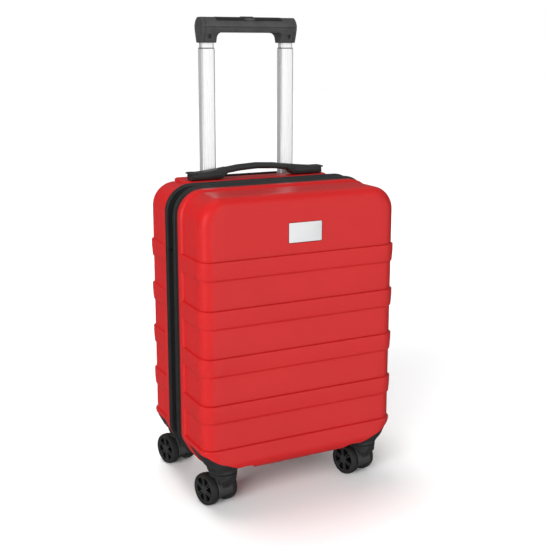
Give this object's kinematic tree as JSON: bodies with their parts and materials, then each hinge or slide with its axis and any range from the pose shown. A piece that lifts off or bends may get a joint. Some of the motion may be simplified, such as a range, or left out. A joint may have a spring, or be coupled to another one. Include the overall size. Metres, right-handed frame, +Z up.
{
  "type": "hard shell suitcase on wheels",
  "caption": "Hard shell cabin suitcase with banded half shells, a side hinge, a zip round the rim, swivel twin wheels, a carry handle and a telescopic trolley.",
  "frame": {"origin": "centre of the overall width and depth, at the floor under the wheels", "axes": "+X to the right as seen from the lid, +Y to the back with the trolley, +Z up"},
  "size_m": [0.3404, 0.2426, 0.7336],
  "materials": {
    "shell": "moulded ABS, fine satin grain",
    "trim": "satin",
    "zip_tape": "woven",
    "handle": "satin grain",
    "grip": "satin grain",
    "tube": "bright anodised",
    "plate": "brushed",
    "metal": "nickel",
    "dial": "satin",
    "caster": "satin",
    "wheel": "matte",
    "axle": "plain",
    "lining": "woven polyester",
    "strap": "webbing"
  },
  "bodies": {
    "root": {"rear_shell": "shell", "rear_piping": "trim", "rear_zip_tape": "zip_tape", "hinge_tape": "zip_tape", "trolley_cup": "trim", "outer_tube_left": "tube", "outer_tube_right": "tube", "trolley_foot": "trim", "lock_body": "trim", "carry_handle_mount_left": "handle", "carry_handle_mount_right": "handle", "wheel_housing_rear_left": "caster", "wheel_housing_rear_right": "caster", "base_lining": "lining", "cross_strap_left": "strap", "cross_strap_right": "strap", "strap_buckle": "trim"},
    "lid": {"front_shell": "shell", "name_plate": "plate", "front_piping": "trim", "front_zip_tape": "zip_tape", "lid_lining": "lining", "wheel_housing_front_left": "caster", "wheel_housing_front_right": "caster"},
    "carry_handle": {"carry_handle": "handle"},
    "middle_stage": {"middle_tube_left": "tube", "middle_tube_right": "tube"},
    "inner_stage": {"inner_tube_left": "tube", "inner_tube_right": "tube", "trolley_grip_front": "grip", "trolley_grip_rear": "grip", "trolley_grip_insert": "grip", "grip_screw_left": "metal", "grip_screw_right": "metal"},
    "trolley_button": {"trolley_button": "grip"},
    "zip_slider_upper": {"zip_slider_upper": "metal"},
    "zip_slider_lower": {"zip_slider_lower": "metal"},
    "zip_puller_upper": {"zip_puller_upper": "metal"},
    "zip_puller_lower": {"zip_puller_lower": "metal"},
    "dial_1": {"lock_dial_1": "dial"},
    "dial_2": {"lock_dial_2": "dial"},
    "dial_3": {"lock_dial_3": "dial"},
    "lock_release": {"lock_release": "trim"},
    "swivel_front_left": {"caster_fork_front_left": "caster", "wheel_axle_front_left": "axle"},
    "wheel_front_left_left": {"wheel_front_left_left": "wheel"},
    "wheel_front_left_right": {"wheel_front_left_right": "wheel"},
    "swivel_front_right": {"caster_fork_front_right": "caster", "wheel_axle_front_right": "axle"},
    "wheel_front_right_left": {"wheel_front_right_left": "wheel"},
    "wheel_front_right_right": {"wheel_front_right_right": "wheel"},
    "swivel_rear_left": {"caster_fork_rear_left": "caster", "wheel_axle_rear_left": "axle"},
    "wheel_rear_left_left": {"wheel_rear_left_left": "wheel"},
    "wheel_rear_left_right": {"wheel_rear_left_right": "wheel"},
    "swivel_rear_right": {"caster_fork_rear_right": "caster", "wheel_axle_rear_right": "axle"},
    "wheel_rear_right_left": {"wheel_rear_right_left": "wheel"},
    "wheel_rear_right_right": {"wheel_rear_right_right": "wheel"}
  },
  "joints": [
    {"name": "lid_hinge", "type": "hinge", "parent": "root", "child": "lid", "pos_m": [-0.17205, -0.00274, 0.26], "axis": [0, 0, -1], "range_deg": [0, 180]},
    {"name": "trolley_middle", "type": "slide", "parent": "root", "child": "middle_stage", "axis": [0, 0, 1], "range_m": [-0.208, 0]},
    {"name": "trolley_inner", "type": "slide", "parent": "middle_stage", "child": "inner_stage", "axis": [0, 0, 1], "range_m": [0, 0.2]},
    {"name": "trolley_button_press", "type": "slide", "parent": "inner_stage", "child": "trolley_button", "axis": [0, 0, -1], "range_m": [0, 0.003], "stiffness_N_per_m": 400, "springref_m": -0.002},
    {"name": "carry_handle_lift", "type": "slide", "parent": "root", "child": "carry_handle", "axis": [0, 0, 1], "range_m": [0, 0.008]},
    {"name": "zip_slide_upper", "type": "slide", "parent": "root", "child": "zip_slider_upper", "axis": [0, 0, 1], "range_m": [0, 0.14]},
    {"name": "zip_puller_swing_upper", "type": "hinge", "parent": "zip_slider_upper", "child": "zip_puller_upper", "pos_m": [0.1653, -0.00274, 0.2908], "axis": [0, -1, 0], "range_deg": [0, 170]},
    {"name": "zip_slide_lower", "type": "slide", "parent": "root", "child": "zip_slider_lower", "axis": [0, 0, 1], "range_m": [-0.114, 0]},
    {"name": "zip_puller_swing_lower", "type": "hinge", "parent": "zip_slider_lower", "child": "zip_puller_lower", "pos_m": [0.1653, -0.00274, 0.2428], "axis": [0, -1, 0], "range_deg": [0, 170]},
    {"name": "dial_turn_1", "type": "hinge", "parent": "root", "child": "dial_1", "pos_m": [0.1653, 0.02116, 0.251], "axis": [0, 0, 1], "continuous": true},
    {"name": "dial_turn_2", "type": "hinge", "parent": "root", "child": "dial_2", "pos_m": [0.1653, 0.02116, 0.26], "axis": [0, 0, 1], "continuous": true},
    {"name": "dial_turn_3", "type": "hinge", "parent": "root", "child": "dial_3", "pos_m": [0.1653, 0.02116, 0.269], "axis": [0, 0, 1], "continuous": true},
    {"name": "lock_release_slide", "type": "slide", "parent": "root", "child": "lock_release", "axis": [0, 0, 1], "range_m": [0, 0.006], "stiffness_N_per_m": 200, "springref_m": -0.001},
    {"name": "swivel_turn_front_left", "type": "hinge", "parent": "lid", "child": "swivel_front_left", "pos_m": [-0.12555, -0.09224, 0.055], "axis": [0, 0, 1], "continuous": true},
    {"name": "wheel_spin_front_left_left", "type": "hinge", "parent": "swivel_front_left", "child": "wheel_front_left_left", "pos_m": [-0.1452, -0.07768, 0.025], "axis": [0.9759, 0.2181, 0], "continuous": true},
    {"name": "wheel_spin_front_left_right", "type": "hinge", "parent": "swivel_front_left", "child": "wheel_front_left_right", "pos_m": [-0.11397, -0.07069, 0.025], "axis": [0.9759, 0.2181, 0], "continuous": true},
    {"name": "swivel_turn_front_right", "type": "hinge", "parent": "lid", "child": "swivel_front_right", "pos_m": [0.12045, -0.09224, 0.055], "axis": [0, 0, 1], "continuous": true},
    {"name": "wheel_spin_front_right_left", "type": "hinge", "parent": "swivel_front_right", "child": "wheel_front_right_left", "pos_m": [0.1008, -0.07768, 0.025], "axis": [0.9759, 0.2181, 0], "continuous": true},
    {"name": "wheel_spin_front_right_right", "type": "hinge", "parent": "swivel_front_right", "child": "wheel_front_right_right", "pos_m": [0.13203, -0.07069, 0.025], "axis": [0.9759, 0.2181, 0], "continuous": true},
    {"name": "swivel_turn_rear_left", "type": "hinge", "parent": "root", "child": "swivel_rear_left", "pos_m": [-0.12555, 0.07476, 0.055], "axis": [0, 0, 1], "continuous": true},
    {"name": "wheel_spin_rear_left_left", "type": "hinge", "parent": "swivel_rear_left", "child": "wheel_rear_left_left", "pos_m": [-0.1452, 0.08932, 0.025], "axis": [0.9759, 0.2181, 0], "continuous": true},
    {"name": "wheel_spin_rear_left_right", "type": "hinge", "parent": "swivel_rear_left", "child": "wheel_rear_left_right", "pos_m": [-0.11397, 0.09631, 0.025], "axis": [0.9759, 0.2181, 0], "continuous": true},
    {"name": "swivel_turn_rear_right", "type": "hinge", "parent": "root", "child": "swivel_rear_right", "pos_m": [0.12045, 0.07476, 0.055], "axis": [0, 0, 1], "continuous": true},
    {"name": "wheel_spin_rear_right_left", "type": "hinge", "parent": "swivel_rear_right", "child": "wheel_rear_right_left", "pos_m": [0.1008, 0.08932, 0.025], "axis": [0.9759, 0.2181, 0], "continuous": true},
    {"name": "wheel_spin_rear_right_right", "type": "hinge", "parent": "swivel_rear_right", "child": "wheel_rear_right_right", "pos_m": [0.13203, 0.09631, 0.025], "axis": [0.9759, 0.2181, 0], "continuous": true}
  ]
}
